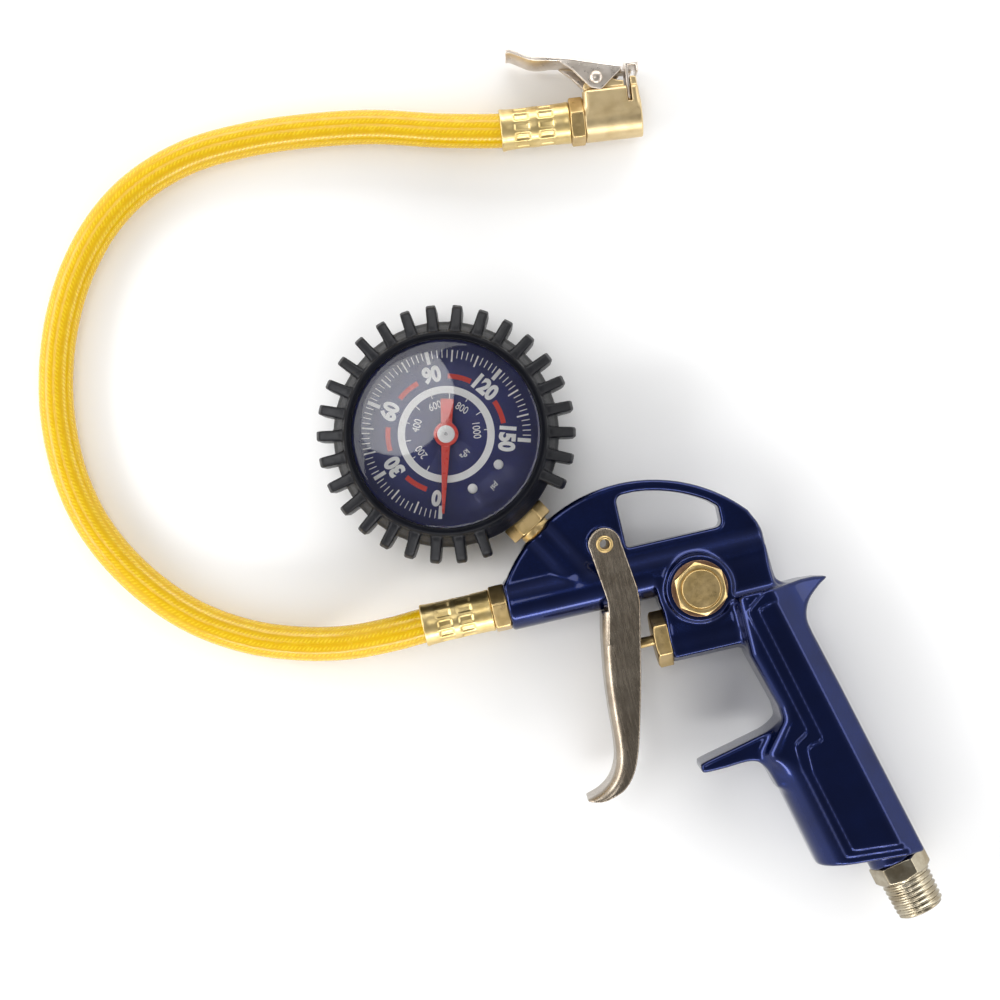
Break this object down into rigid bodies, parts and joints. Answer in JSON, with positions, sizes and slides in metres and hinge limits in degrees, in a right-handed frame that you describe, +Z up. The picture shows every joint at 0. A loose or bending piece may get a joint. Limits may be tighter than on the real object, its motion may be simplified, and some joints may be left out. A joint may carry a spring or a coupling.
{
  "type": "tyre inflator with gauge",
  "caption": "Hand-held tyre inflator gun lying on its side: lever-operated air valve, round dial gauge in a toothed rubber boot, short braided hose and a clip-on valve chuck.",
  "frame": {"origin": "on the surface that the inflator lies on, under the middle of the outline of the gun and its gauge (hose and chuck left out)", "axes": "+Z up, away from the surface; +X along the barrel from its hose end towards the grip's back; +Y towards the top of the gun and the gauge, away from the air inlet"},
  "size_m": [0.2066, 0.2489, 0.0295],
  "materials": {
    "gun_paint": "gloss",
    "trigger_steel": "satin",
    "brass": "satin",
    "ferrule_brass": "polished",
    "chuck_brass": "satin",
    "copper": "satin",
    "nickel": "satin",
    "steel": "satin",
    "boot_rubber": "matt",
    "seal_rubber": "matt",
    "case_paint": "gloss",
    "clear_lens": "gloss",
    "dial_print": "satin",
    "dial_white": "satin",
    "pointer_red": "satin",
    "hose_yellow": "gloss"
  },
  "bodies": {
    "gun": {"gun_body": "gun_paint", "pivot_rivet": "brass", "hex_plug": "brass", "gland_nut": "brass", "valve_seat": "brass", "gauge_socket": "brass", "hose_nut_gun": "brass", "hose_nut_chuck": "brass", "chuck_pin": "brass", "movement_back_plate": "brass", "movement_front_plate": "brass", "movement_pillars": "brass", "ferrule_gun": "ferrule_brass", "ferrule_chuck": "ferrule_brass", "chuck_body": "chuck_brass", "plug_washer": "copper", "bourdon_tube": "copper", "inlet_fitting": "nickel", "chuck_rivet": "nickel", "valve_spring": "steel", "chuck_spring": "steel", "hairspring": "steel", "bourdon_link": "steel", "case_screws": "steel", "inlet_screen": "steel", "gauge_boot": "boot_rubber", "gland_seal": "seal_rubber", "chuck_seal": "seal_rubber", "lens_gasket": "seal_rubber", "gauge_case": "case_paint", "gauge_lens": "clear_lens", "dial_plate": "dial_print", "dial_screws": "dial_white", "hose": "hose_yellow"},
    "trigger": {"trigger_lever": "trigger_steel"},
    "valve": {"valve_stem": "brass", "valve_seal": "seal_rubber"},
    "gauge_hand": {"pointer": "pointer_red", "pinion_arbor": "brass"},
    "gauge_sector": {"sector_gear": "brass"},
    "thumb_lever": {"chuck_lever": "nickel"},
    "clip": {"clip_plate": "nickel"}
  },
  "joints": [
    {"name": "trigger_hinge", "type": "hinge", "parent": "gun", "child": "trigger", "pos_m": [0.0004, 0.0219, 0.012], "axis": [0, 0, 1], "range_deg": [0, 8], "stiffness_Nm_per_rad": 0.3, "springref_deg": -11.46},
    {"name": "valve_slide", "type": "slide", "parent": "gun", "child": "valve", "axis": [1, 0, 0], "range_m": [0, 0.00395], "deforming": ["valve_spring"]},
    {"name": "sector_hinge", "type": "hinge", "parent": "gun", "child": "gauge_sector", "pos_m": [-0.02247, 0.05617, 0.0128], "axis": [0, 0, 1], "range_deg": [0, 33.75], "stiffness_Nm_per_rad": 0.004},
    {"name": "pointer_hinge", "type": "hinge", "parent": "gun", "child": "gauge_hand", "pos_m": [-0.0334, 0.0591, 0.013], "axis": [0, 0, 1], "range_deg": [-270, 0], "deforming": ["hairspring"]},
    {"name": "chuck_lever_hinge", "type": "hinge", "parent": "gun", "child": "thumb_lever", "pos_m": [0.02645, 0.14283, 0.0065], "axis": [0, 0, 1], "range_deg": [-4, 12], "stiffness_Nm_per_rad": 0.05, "deforming": ["chuck_spring"]},
    {"name": "clip_slide", "type": "slide", "parent": "gun", "child": "clip", "axis": [0.1115, 0.9938, 0], "range_m": [-0.0006, 0.0018]}
  ],
  "couplings": [
    {"joint": "valve_slide", "follows": "trigger_hinge", "m_per_rad": 0.028},
    {"joint": "pointer_hinge", "follows": "sector_hinge", "ratio": -8},
    {"joint": "clip_slide", "follows": "chuck_lever_hinge", "m_per_rad": 0.0083}
  ]
}
